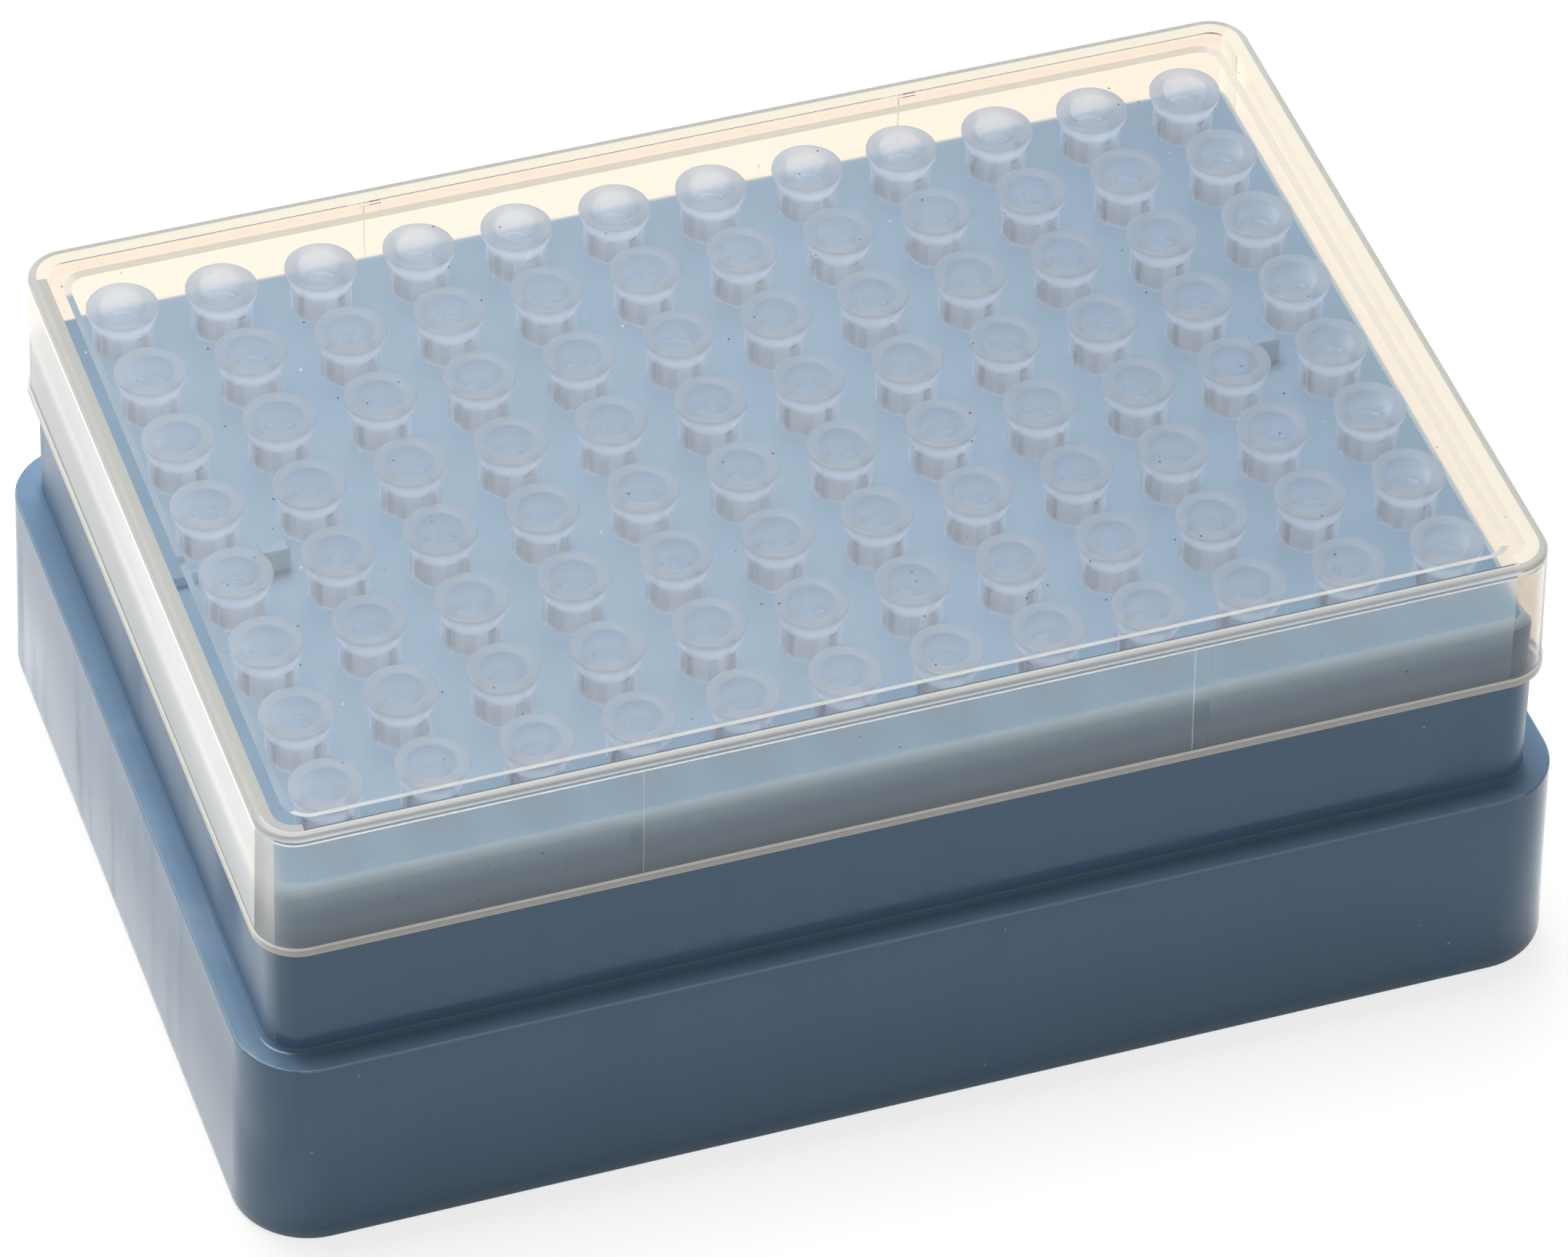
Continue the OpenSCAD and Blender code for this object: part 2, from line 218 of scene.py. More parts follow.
def block(low, high):
    """Adds a plain block between two corners."""
    low, high = Vector(low), Vector(high)
    return add_cube(high - low, (low + high) / 2)


def rounded_block(name, half, radius, low, high, segments=10):
    """Adds a block and rounds its four upright edges. It is left in edit mode."""
    piece = add_cube((2 * half.x, 2 * half.y, high - low), (0, 0, (low + high) / 2))
    piece.name = name
    bpy.ops.object.mode_set(mode="EDIT")
    pick_edges(lambda e: abs(e.verts[0].co.z - e.verts[1].co.z) > (high - low) / 2)
    bpy.ops.mesh.bevel(offset=radius, segments=segments, profile=0.5, affect="EDGES")
    return piece


def edit_mesh():
    """The mesh that is being edited."""
    return bmesh.from_edit_mesh(bpy.context.object.data)


def pick(kind, test):
    """Selects what passes the test: edges or faces, and nothing else."""
    bpy.ops.mesh.select_all(action="DESELECT")
    bpy.ops.mesh.select_mode(type=kind)
    mesh = edit_mesh()
    for part in mesh.edges if kind == "EDGE" else mesh.faces:
        if test(part):
            part.select = True
    mesh.select_flush_mode()
    bmesh.update_edit_mesh(bpy.context.object.data)


def pick_edges(test):
    """Selects the edges that pass the test."""
    pick("EDGE", test)


def pick_faces(test):
    """Selects the faces that pass the test."""
    pick("FACE", test)


def pick_end(side):
    """Picks the one face that closes the piece above (side 1) or below (side -1)."""
    level = max(side * f.calc_center_median().z
                for f in edit_mesh().faces if side * f.normal.z > 0.99)
    pick_faces(lambda f: side * f.normal.z > 0.99
               and abs(side * f.calc_center_median().z - level) < TINY)


def step(inward, rise):
    """Takes the picked face inwards and up: one length of the moulding's section."""
    if abs(inward) < TINY * MM:
        bpy.ops.mesh.extrude_region_move(TRANSFORM_OT_translate={"value": (0, 0, rise)})
        return
    bpy.ops.mesh.inset(thickness=abs(inward), use_outset=inward < 0)
    if abs(rise) > TINY * MM:
        bpy.ops.transform.translate(value=(0, 0, rise))


def quarter(radius, rise, bulge, steps=4):
    """Takes the picked face inwards by radius and up by rise along a quarter round."""
    last = (0.0, 0.0)
    for i in range(1, steps + 1):
        a = math.pi / 2 * i / steps
        if bulge:
            point = (radius * (1 - math.cos(a)), rise * math.sin(a))
        else:
            point = (radius * math.sin(a), rise * (1 - math.cos(a)))
        step(point[0] - last[0], point[1] - last[1])
        last = point


def close_ring():
    """Joins the two open edges of the section and turns its faces outwards."""
    pick_edges(lambda e: e.is_boundary)
    bpy.ops.mesh.bridge_edge_loops()
    bpy.ops.mesh.select_all(action="SELECT")
    bpy.ops.mesh.normals_make_consistent(inside=False)


def finish_piece(piece, smooth_angle=32):
    """Leaves edit mode and shades the rounds smooth and the flats flat."""
    choose(piece)
    bpy.ops.object.shade_smooth_by_angle(angle=math.radians(smooth_angle))
    return piece


def join_solids(piece, others, operation="UNION"):
    """Joins the others to the piece, or cuts them out of it, and removes them."""
    for other in others:
        modifier = piece.modifiers.new("joined", "BOOLEAN")
        modifier.operation = operation
        modifier.solver = "EXACT"
        modifier.object = other
        choose(piece)
        bpy.ops.object.modifier_apply(modifier=modifier.name)
        bpy.data.objects.remove(other)
    return piece


def join_objects(name, pieces):
    """Makes one object of several, without fusing their solids."""
    choose(pieces[0])
    for p in pieces:
        p.select_set(True)
    bpy.ops.object.join()
    bpy.context.object.name = name
    return bpy.context.object


def copy_to(first, move):
    """Copies an object with its mesh, moved by a matrix."""
    twin = first.copy()
    twin.data = first.data.copy()
    twin.data.transform(move)
    bpy.context.scene.collection.objects.link(twin)
    return twin


def column_x(c):
    """Place of a column along X, from its node in the frame."""
    low, high = column_boxes[c]
    return (low.x + high.x) / 2


def row_y(r):
    """Place of a row along Y, counted from the far side."""
    return ((ROWS - 1) / 2 - r) * PITCH


# ---------------------------------------------------------------- base

def wall_blocks(along_x, along_y, thick, inner, outer, low, high):
    """Blocks that cross the walls: along the long sides at along_x, along the short at along_y."""
    blocks = []
    for side in (-1, 1):
        for x in along_x:
            y = sorted((side * inner.y, side * outer.y))
            blocks.append(block((x * PITCH - thick / 2, y[0], low),
                                (x * PITCH + thick / 2, y[1], high)))
        for y in along_y:
            x = sorted((side * inner.x, side * outer.x))
            blocks.append(block((x[0], y * PITCH - thick / 2, low),
                                (x[1], y * PITCH + thick / 2, high)))
    return join_objects("blocks", blocks)


def skirt_ring():
    """The skirt with its rounded foot and ledge, as a closed ring."""
    reach = BASE_WALL / 2
    proud = FOOT_HALF + BOTH * FOOT_PROUD
    piece = rounded_block("skirt", proud, SKIRT_R + FOOT_PROUD, FOOT_R, FOOT_R + FOOT_BAND,
                          SKIRT_SEGMENTS)
    pick_end(1)
    step(FOOT_PROUD + FOOT_LEAN * SKIRT_SLOPE, FOOT_HEIGHT)
    run = LEDGE_Z - EDGE_R - FOOT_R - FOOT_BAND - FOOT_HEIGHT
    step(run * SKIRT_SLOPE, run)
    quarter(EDGE_R, EDGE_R, True)
    step(LEDGE_WIDTH - EDGE_R + reach, 0)
    bpy.ops.mesh.delete(type="ONLY_FACE")
    pick_end(-1)
    quarter(FOOT_R, -FOOT_R, True, 5)
    step(SKIRT_WALL + FOOT_PROUD - FOOT_R, 0)
    under = LEDGE_Z - LEDGE_THICK
    step(under * SKIRT_SLOPE, under)
    step(LEDGE_Z * SKIRT_SLOPE + LEDGE_WIDTH + reach - SKIRT_WALL - under * SKIRT_SLOPE, 0)
    bpy.ops.mesh.delete(type="ONLY_FACE")
    close_ring()
    return finish_piece(piece)


def tub():
    """The tub inside the skirt: raised floor, upper wall and rim."""
    ledge_grow = (RIM_Z - LEDGE_Z) * WALL_SLOPE
    inner_lean = (RIM_Z - FLOOR_Z - FLOOR_THICK) * INNER_SLOPE
    half = HEM_HALF - BOTH * inner_lean
    under = LEDGE_Z - LEDGE_JOIN
    piece = rounded_block("base_moulding", half, RIM_R - inner_lean, FLOOR_Z + EDGE_R, under)
    pick_end(1)
    step(-(inner_lean + ledge_grow + LEDGE_FILLET), 0)
    step(0, LEDGE_Z - under)
    quarter(LEDGE_FILLET, LEDGE_FILLET, False)
    rise = RIM_Z - LEDGE_Z - LEDGE_FILLET
    step(rise * WALL_SLOPE, rise)
    step(BASE_WALL, 0)
    down = RIM_Z - FLOOR_Z - FLOOR_THICK - FLOOR_ROUND
    step(down * INNER_SLOPE, -down)
    quarter(FLOOR_ROUND, -FLOOR_ROUND, False)
    pick_end(-1)
    quarter(EDGE_R, -EDGE_R, True, 2)
    return finish_piece(piece)


def hook_windows():
    """Cutters for the windows in the short walls that the plate's hooks snap into."""
    windows = []
    for side in (-1, 1):
        x = sorted((side * (PLATE_HALF.x - MM), side * (PLATE_HALF.x + HOOK_PROUD + HOOK_GAP)))
        half = TONGUE_WIDTH / 2 + HOOK_GAP
        windows.append(block((x[0], -half, HOOK_Z - HOOK_GAP),
                             (x[1], half, HOOK_Z + HOOK_HEIGHT + HOOK_GAP)))
    return windows


def base_finish(c, n):
    """The finish of a face of the base, by its centre and normal."""
    ledge_half = FOOT_HALF - BOTH * (LEDGE_Z * SKIRT_SLOPE + 2 * EDGE_R)
    # The upper walls of the short ends get a paler blue: a painted reflection of the white
    # surroundings at a grazing angle.
    if c.z > LEDGE_Z + 0.3 * MM and c.x * n.x > 0.8 * abs(c.x):
        return PAINTED_REFLECTION_WALL
    outer = abs(c.x) > ledge_half.x or abs(c.y) > ledge_half.y
    rounded = LEDGE_Z - 0.8 * EDGE_R < c.z < LEDGE_Z - TINY
    # A paler blue on the outer rounding of the ledge: a painted highlight.
    return EDGE_HIGHLIGHT if outer and rounded and n.z > 0.1 else BASE_BLUE


def base_moulding():
    """The base: skirt and tub joined by stiffeners, and posts that carry the plate."""
    wall = BOTH * BASE_WALL
    skirt_inside = FOOT_HALF - BOTH * (LEDGE_Z * SKIRT_SLOPE + SKIRT_WALL / 2)
    stiffeners = wall_blocks(STIFFENERS_X, STIFFENERS_Y, RIB_THICK, HEM_HALF - wall / 2,
                             skirt_inside, FLOOR_Z + FLOOR_THICK, LEDGE_Z - LEDGE_THICK / 2)
    posts = wall_blocks(POSTS_X, POSTS_Y, POST_THICK, HEM_HALF - wall - BOTH * POST_DEPTH,
                        HEM_HALF - wall / 2, FLOOR_Z + FLOOR_THICK / 2, plate_low.z)
    piece = join_solids(tub(), [skirt_ring(), stiffeners, posts])
    join_solids(piece, hook_windows(), "DIFFERENCE")
    for f in piece.data.polygons:
        f.material_index = base_finish(f.center, f.normal)
    return finish_piece(piece)


# ---------------------------------------------------------------- plate

def deck_holes():
    """Cutters for the 96 seats, one cylinder copied over the grid."""
    start()
    bpy.ops.mesh.primitive_cylinder_add(vertices=TIP_SIDES, radius=SEAT_R, depth=SEAT_CUT)
    first = bpy.context.object
    cutters = [copy_to(first, Matrix.Translation((column_x(c), row_y(r), DECK_Z)))
               for c in range(COLUMNS) for r in range(ROWS)]
    bpy.data.objects.remove(first)
    return join_objects("seats", cutters)


def peg(x):
    """One of the two pegs that stand on the deck."""
    piece = rounded_block("peg", PEG_SIZE / 2, PEG_EDGE_R, DECK_Z - PEG_ROOT,
                          DECK_Z + (1 - PEG_ROUND_SHARE) * PEG_HEIGHT, 3)
    pick_end(1)
    quarter(PEG_EDGE_R, PEG_ROUND_SHARE * PEG_HEIGHT, True, 3)
    bpy.ops.object.mode_set(mode="OBJECT")
    piece.data.transform(Matrix.Translation((x, 0, 0)))
    return piece


def hook(side):
    """The wedge hook of one snap tongue."""
    x = sorted((side * (PLATE_HALF.x - HOOK_ROOT), side * (PLATE_HALF.x + HOOK_PROUD)))
    piece = block((x[0], -TONGUE_WIDTH / 2, HOOK_Z),
                  (x[1], TONGUE_WIDTH / 2, HOOK_Z + HOOK_HEIGHT))
    bpy.ops.object.mode_set(mode="EDIT")
    bpy.ops.mesh.select_all(action="SELECT")
    bpy.ops.mesh.bisect(plane_co=(side * PLATE_HALF.x, 0, HOOK_Z),
                        plane_no=(side * (HOOK_HEIGHT - HOOK_LIP), 0, -HOOK_PROUD),
                        use_fill=True, clear_outer=True)
    bpy.ops.object.mode_set(mode="OBJECT")
    return piece


def deck_ribs():
    """Ribs under the deck, between the columns and between the rows."""
    under = DECK_Z - DECK_THICK
    low, high = under - RIB_DEPTH, under + DECK_THICK / 2
    reach = PLATE_HALF - BOTH * PLATE_WALL / 2
    across, along = [], []
    for i in range(COLUMNS - 1):
        x = (i - COLUMNS / 2 + 1) * PITCH
        across.append(block((x - RIB_THICK / 2, -reach.y, low), (x + RIB_THICK / 2, reach.y, high)))
    for i in range(ROWS - 1):
        y = (i - ROWS / 2 + 1) * PITCH
        along.append(block((-reach.x, y - RIB_THICK / 2, low), (reach.x, y + RIB_THICK / 2, high)))
    return [join_objects("ribs_across", across), join_objects("ribs_along", along)]


def tongue_slits():
    """Cutters for the slits that free the snap tongues."""
    slits = []
    for side in (-1, 1):
        for end in (-1, 1):
            x = sorted((side * (PLATE_HALF.x - PLATE_WALL - MM), side * (PLATE_HALF.x + MM)))
            y = sorted((end * TONGUE_WIDTH / 2, end * (TONGUE_WIDTH / 2 + TONGUE_SLIT)))
            slits.append(block((x[0], y[0], plate_low.z - MM),
                               (x[1], y[1], plate_low.z + TONGUE_HEIGHT)))
    return join_objects("slits", slits)


def pockets():
    """Cutters for the shallow pockets in the deck, over the snap tongues."""
    size = (POCKET_LENGTH, POCKET_WIDTH, 2 * POCKET_DEPTH)
    inside = PLATE_HALF.x - PLATE_WALL - POCKET_LENGTH / 2
    return [add_cube(size, (side * inside, 0, DECK_Z)) for side in (-1, 1)]


def plate_finish(c, n):
    """The finish of a face of the plate, by its centre and normal."""
    below_deck = c.z < DECK_Z - 0.05 * MM
    in_pocket = (abs(c.x) > PLATE_HALF.x - PLATE_WALL - POCKET_LENGTH - 0.2 * MM
                 and DECK_Z - POCKET_DEPTH - 0.4 * MM < c.z and below_deck)
    near = abs(c.y) < POCKET_WIDTH / 2 + 0.1 * MM and abs(c.x) < PLATE_HALF.x - MM
    on_peg = c.z > DECK_Z + 0.05 * MM
    # Upright faces of the pegs and of the pocket walls beside them get a much paler blue: painted
    # light where the lamp leaves them in shade.
    if n.z < 0.5 and (on_peg or (in_pocket and near)):
        return PEG_PAINTED_LIGHT
    # A paler blue on the rounded edge of the deck: a painted highlight.
    rounded = DECK_Z - DECK_EDGE_R < c.z and below_deck and 0.2 < n.z < 0.98
    return DECK_EDGE_HIGHLIGHT if rounded else PLATE_BLUE


def plate_moulding():
    """The plate: deck with a rounded edge, wall that turns down, two pegs and two pockets."""
    piece = rounded_block("plate_moulding", PLATE_HALF, PLATE_R, plate_low.z,
                          DECK_Z - DECK_EDGE_R)
    pick_end(1)
    quarter(DECK_EDGE_R, DECK_EDGE_R, True, 5)
    pick_end(-1)
    step(PLATE_WALL, 0)
    step(0, DECK_Z - DECK_THICK - plate_low.z)
    finish_piece(piece)
    join_solids(piece, deck_ribs())
    join_solids(piece, [deck_holes(), tongue_slits()] + pockets(), "DIFFERENCE")
    join_solids(piece, [peg(PEG_COLUMN * PITCH), peg(-PEG_COLUMN * PITCH), hook(-1), hook(1)])
    for f in piece.data.polygons:
        f.material_index = plate_finish(f.center, f.normal)
    return finish_piece(piece)


# ---------------------------------------------------------------- lid

def lid_panel():
    """The thicker panel under the lid's top, with sloping sides and rounder corners."""
    under = LID_TOP_Z - LID_TOP
    half = HEM_HALF - BOTH * (LID_SHRINK + PANEL_BORDER - PANEL_SLOPE / 2)
    piece = rounded_block("panel", half, PANEL_R, under, under + PANEL_ROOT, PANEL_SEGMENTS)
    pick_end(-1)
    step(PANEL_SLOPE, -PANEL_EXTRA)
    bpy.ops.object.mode_set(mode="OBJECT")
    return piece


def guide_ribs():
    """Cuts narrow strips into the insides of the long walls and draws them inwards."""
    inner_y = HEM_HALF.y - LID_WALL

    def long_inner_wall(f):
        c = f.calc_center_median()
        upright = abs(f.normal.z) < 0.2 and abs(f.normal.y) > 0.9
        return upright and c.y * f.normal.y < 0 and abs(c.y) > inner_y - 1.5 * MM

    def strip(f):
        x = abs(f.calc_center_median().x)
        return long_inner_wall(f) and abs(x - GUIDE_X) < GUIDE_WIDTH / 2

    for x in (-GUIDE_X, GUIDE_X):
        for edge in (-1, 1):
            pick_faces(long_inner_wall)
            bpy.ops.mesh.bisect(plane_co=(x + edge * GUIDE_CUT, 0, (lid_low.z + LID_TOP_Z) / 2),
                                plane_no=(1, 0, -edge * GUIDE_LEAN))
    pick_faces(strip)
    bpy.ops.mesh.extrude_region_shrink_fatten(
        TRANSFORM_OT_shrink_fatten={"value": GUIDE_PROUD})


def lid_finish(c, n, area):
    """The finish of a face of the lid, by its centre, normal and area."""
    inner_half = HEM_HALF - BOTH * (LID_WALL + 4 * MM)
    core = HEM_HALF - BOTH * RIM_R
    under = LID_TOP_Z - LID_TOP
    edge_z = LID_TOP_Z - LID_EDGE_R
    past_x, past_y = max(abs(c.x) - core.x, 0), max(abs(c.y) - core.y, 0)
    far = (past_y > 0 and c.y > 0) or (past_x > 0 and c.x > 0)
    inward = RIM_R - LID_SHRINK - LID_EDGE_R - math.hypot(past_x, past_y)
    outside = c.x * n.x + c.y * n.y > 0
    upright = abs(n.z) < 0.3
    sloping = -0.98 < n.z < -0.1
    turn = math.degrees(math.atan2(abs(n.y), abs(n.x)))

    if c.z > edge_z and area < TOP_RING_AREA:
        if inward < LID_BAND:
            # The front-facing lower part of the rounding on the near side gets a paler, softly lit
            # haze: painted light on faces the lamp leaves in shade.
            return PAINTED_LIGHT_EDGE if n.z < 0.55 and past_y > 0 and not far else THICK_EDGE
        if inward < LID_BAND + LID_LINE:
            # On the near front side this ring gets a pale haze: a painted highlight.
            return BRIGHT_LINE if past_y > 0 and not far else THICK_EDGE
        # On the far sides the lid takes warm cream copies of its plastic, here and below: painted
        # light shining through.
        if far:
            return DEEP_WALL
        on_brim = past_x > 0 and inward < LID_BAND + LID_LINE + LID_BRIM
        return BRIM if on_brim else POLISHED
    # The cap below the rounding gets the same painted light.
    if outside and upright and c.z > edge_z - LID_CAP:
        return PAINTED_LIGHT_EDGE
    if c.z < lid_low.z + HEM_HEIGHT and (outside or n.z < -0.5):
        return HEM
    if outside and upright and turn >= 45:
        return BACK_WALL if c.y > 0 else FRONT_WALL
    if outside and upright:
        if turn > 9:
            return CORNER
        return SHORT_WALL if c.x < 0 else FAR_WALL
    if n.z < -0.99 and c.z < under - PANEL_EXTRA / 2 and area > PANEL_AREA:
        return FROSTED
    if sloping and inward > PANEL_BORDER / 2 and c.z < under:
        if far:
            return FAR_STEP
        return LEFT_STEP if past_x > 0 and turn < 45 else STEP
    if sloping and abs(c.z - under) < LID_INNER_R + 0.01 * MM:
        if far:
            return FAR_WALL
        return INNER_FILLET if past_y > 0 else THICK_EDGE
    if abs(n.z) < 0.6 and not outside and c.z < under:
        if c.y >= inner_half.y or c.x >= inner_half.x:
            return BACK_WALL if c.y > inner_half.y and turn > 45 else FAR_WALL
        if abs(n.x) > 0.9 and abs(abs(c.x) - GUIDE_X) < GUIDE_WIDTH:
            return GUIDE_EDGE
        return CREAM_WALL if c.x < -inner_half.x and c.y > -inner_half.y else CLOUDY
    return POLISHED


def lid_shell():
    """The lid: drafted walls, rounded upper edge, hem bead, thick panel and guide ribs."""
    proud = HEM_HALF + BOTH * HEM_PROUD
    piece = rounded_block("lid_shell", proud, RIM_R + HEM_PROUD, lid_low.z,
                          lid_low.z + HEM_HEIGHT - HEM_PROUD, LID_SEGMENTS)
    pick_end(1)
    step(HEM_PROUD + HEM_HEIGHT * LID_SLOPE, HEM_PROUD)
    rise = LID_TOP_Z - LID_EDGE_R - LID_CAP - lid_low.z - HEM_HEIGHT
    step(rise * LID_SLOPE, rise)
    step(LID_CAP * LID_SLOPE, LID_CAP)
    quarter(LID_EDGE_R, LID_EDGE_R, True, 5)
    for ring in (LID_BAND, LID_LINE, LID_BRIM, LID_DEPTH):
        step(ring, 0)
    pick_end(-1)
    step(LID_WALL + HEM_PROUD, 0)
    rise = LID_TOP_Z - LID_TOP - lid_low.z - LID_INNER_R
    step(rise * LID_SLOPE, rise)
    quarter(LID_INNER_R, LID_INNER_R, False, 3)
    bpy.ops.object.mode_set(mode="OBJECT")
    join_solids(piece, [lid_panel()])
    start()
    bpy.context.view_layer.objects.active = piece
    bpy.ops.object.mode_set(mode="EDIT")
    guide_ribs()
    finish_piece(piece, LID_SMOOTH_ANGLE)
    for f in piece.data.polygons:
        f.material_index = lid_finish(f.center, f.normal, f.area)
    return piece


# ---------------------------------------------------------------- tips

def one_tip():
    """Draws a ring up the outside of the tip and down its bore, then adds the collar's ribs."""
    start()
    radius, height = TIP_SECTION[0]
    bpy.ops.mesh.primitive_circle_add(vertices=TIP_SIDES, radius=radius * MM,
                                      location=(0, 0, height * MM))
    piece = bpy.context.object
    piece.name = "tip"
    bpy.ops.object.transform_apply(location=True, rotation=True, scale=True)
    bpy.ops.object.mode_set(mode="EDIT")
    bpy.ops.mesh.select_mode(type="EDGE")
    bpy.ops.mesh.select_all(action="SELECT")
    for next_radius, next_height in TIP_SECTION[1:]:
        bpy.ops.mesh.extrude_region_move(
            TRANSFORM_OT_translate={"value": (0, 0, (next_height - height) * MM)})
        k = next_radius / radius
        bpy.ops.transform.resize(value=(k, k, 1), center_override=(0, 0, next_height * MM))
        radius, height = next_radius, next_height
    close_ring()

    def rib(f):
        c = f.calc_center_median()
        sector = int((math.atan2(c.y, c.x) + math.pi) / (2 * math.pi) * TIP_SIDES)
        on_collar = COLLAR_LOW + TINY < c.z < COLLAR_HIGH and math.hypot(c.x, c.y) > COLLAR_INSIDE
        return on_collar and sector % RIB_SIDES < RIB_WIDTH

    pick_faces(rib)
    bpy.ops.mesh.extrude_region_shrink_fatten(
        TRANSFORM_OT_shrink_fatten={"value": COLLAR_RIB_PROUD})
    finish_piece(piece, TIP_SMOOTH_ANGLE)
    for f in piece.data.polygons:
        on_rim = f.center.z > RIM_LOW and math.hypot(f.center.x, f.center.y) > RIM_INSIDE
        f.material_index = MILKY_RIM if on_rim else MILKY
    return piece


def mark_step(tip, foot):
    """Marks the far part of the small step in the bore for a white milky finish: a painted
    highlight.
    """
    for f in tip.data.polygons:
        out = f.center - foot
        away = math.hypot(out.x, out.y)
        on_step = STEP_LOW < out.z < STEP_HIGH and away < STEP_OUTSIDE
        if on_step and STEP_WAY[0] * out.x + STEP_WAY[1] * out.y > STEP_REACH * away:
            f.material_index = BORE_STEP_HIGHLIGHT


def tip_columns(finishes):
    """Sets the tips in their seats, each turned at random, and joins every column."""
    chance = random.Random(TIP_SEED)
    first = one_tip()
    for finish in finishes:
        first.data.materials.append(finish)
    columns = []
    for c in range(COLUMNS):
        tips = []
        for r in range(ROWS):
            turn = Euler((chance.gauss(0, TIP_TILT), chance.gauss(0, TIP_TILT),
                          chance.uniform(0, TIP_TURN)))
            foot = Vector((column_x(c) + chance.gauss(0, TIP_SHIFT) * MM,
                           row_y(r) + chance.gauss(0, TIP_SHIFT) * MM, DECK_Z))
            tip = copy_to(first, Matrix.Translation(foot) @ turn.to_matrix().to_4x4())
            mark_step(tip, foot)
            tips.append(tip)
        columns.append(join_objects("tips_%02d" % (c + 1), tips))
    bpy.data.objects.remove(first)
    return columns


# ---------------------------------------------------------------- shader nodes

def connect(tree, node, links):
    """Fills a node's inputs: (socket, value or output) pairs."""
    for socket, source in links:
        if isinstance(source, (int, float, tuple)):
            node.inputs[socket].default_value = source
        else:
            tree.links.new(source, node.inputs[socket])
    return node


def add(tree, kind, links=(), **values):
    """Adds a node, sets its values and fills its inputs."""
    node = tree.nodes.new("ShaderNode" + kind)
    for key, value in values.items():
        setattr(node, key, value)
    return connect(tree, node, links)


def place_group(tree, group, links):
    """Adds a node group and fills its inputs."""
    return connect(tree, add(tree, "Group", node_tree=group), links)


def calculate(tree, operation, *terms):
    """One step of arithmetic on numbers or outputs."""
    return add(tree, "Math", enumerate(terms), operation=operation).outputs[0]


def ramp(tree, value, start_at, end_at, low, high, kind="LINEAR"):
    """Maps a value's way from start_at to end_at onto low to high."""
    return add(tree, "MapRange", [(0, value), (1, start_at), (2, end_at), (3, low), (4, high)],
               interpolation_type=kind).outputs[0]


def mix_colours(tree, share, first, second):
    """Goes from the first colour to the second as share goes from 0 to 1."""
    return add(tree, "Mix", [(0, share), (6, first), (7, second)], data_type="RGBA").outputs[2]


def mix_values(tree, share, first, second):
    """Goes from the first number to the second as share goes from 0 to 1."""
    return add(tree, "Mix", [(0, share), (2, first), (3, second)], data_type="FLOAT").outputs[0]


def mix_shaders(tree, share, first, second):
    """Goes from the first shader to the second as share goes from 0 to 1."""
    return add(tree, "MixShader", [(0, share), (1, first.outputs[0]), (2, second.outputs[0])])


def axes(tree, vector):
    """Splits a vector into outputs named X, Y and Z."""
    return add(tree, "SeparateXYZ", [(0, vector)]).outputs


def rgba(colour, gain=1.0):
    """A colour times a gain, with an alpha of 1."""
    return tuple(gain * c for c in colour) + (1,)


def new_group(name, inputs, outputs):
    """Makes a node group with named inputs and outputs."""
    group = bpy.data.node_groups.new(name, "ShaderNodeTree")
    for label, kind, value in inputs:
        socket = group.interface.new_socket(name=label, in_out="INPUT", socket_type=kind)
        socket.default_value = value
    for label, kind in outputs:
        group.interface.new_socket(name=label, in_out="OUTPUT", socket_type=kind)
    return group, group.nodes.new("NodeGroupInput"), group.nodes.new("NodeGroupOutput")


def grain_group():
    """Fine moulded grain and slow flow in the surface: a roughness and a height."""
    group, inside, outside = new_group(
        "moulded_grain",
        [("Coordinates", "NodeSocketVector", (0, 0, 0)), ("Grain", "NodeSocketFloat", 3000.0),
         ("Roughness", "NodeSocketFloat", 0.4), ("Spread", "NodeSocketFloat", 0.1)],
        [("Roughness", "NodeSocketFloat"), ("Height", "NodeSocketFloat")])
    given = inside.outputs
    fine = add(group, "TexNoise", [("Vector", given["Coordinates"]), ("Scale", given["Grain"]),
                                   ("Detail", 3.0)])
    slow = add(group, "TexNoise", [("Vector", given["Coordinates"]), ("Scale", 90.0),
                                   ("Detail", 2.0)])
    centred = calculate(group, "SUBTRACT", slow.outputs["Fac"], 0.5)
    spread = calculate(group, "MULTIPLY_ADD", centred, given["Spread"], given["Roughness"])
    group.links.new(spread, outside.inputs["Roughness"])
    group.links.new(fine.outputs["Fac"], outside.inputs["Height"])
    return group


def specks_group():
    """Scattered small specks of dust: a mask."""
    group, inside, outside = new_group(
        "dust_specks",
        [("Coordinates", "NodeSocketVector", (0, 0, 0)), ("Scale", "NodeSocketFloat", 500.0),
         ("Size", "NodeSocketFloat", 0.1), ("Share", "NodeSocketFloat", 0.2)],
        [("Mask", "NodeSocketFloat")])
    given = inside.outputs
    cells = add(group, "TexVoronoi", [("Vector", given["Coordinates"]),
                                      ("Scale", given["Scale"]), ("Randomness", 1.0)])
    picked = add(group, "SeparateColor", [("Color", cells.outputs["Color"])])
    near = calculate(group, "LESS_THAN", cells.outputs["Distance"], given["Size"])
    kept = calculate(group, "LESS_THAN", picked.outputs["Red"], given["Share"])
    group.links.new(calculate(group, "MULTIPLY", near, kept), outside.inputs["Mask"])
    return group


GRAIN = grain_group()
SPECKS = specks_group()


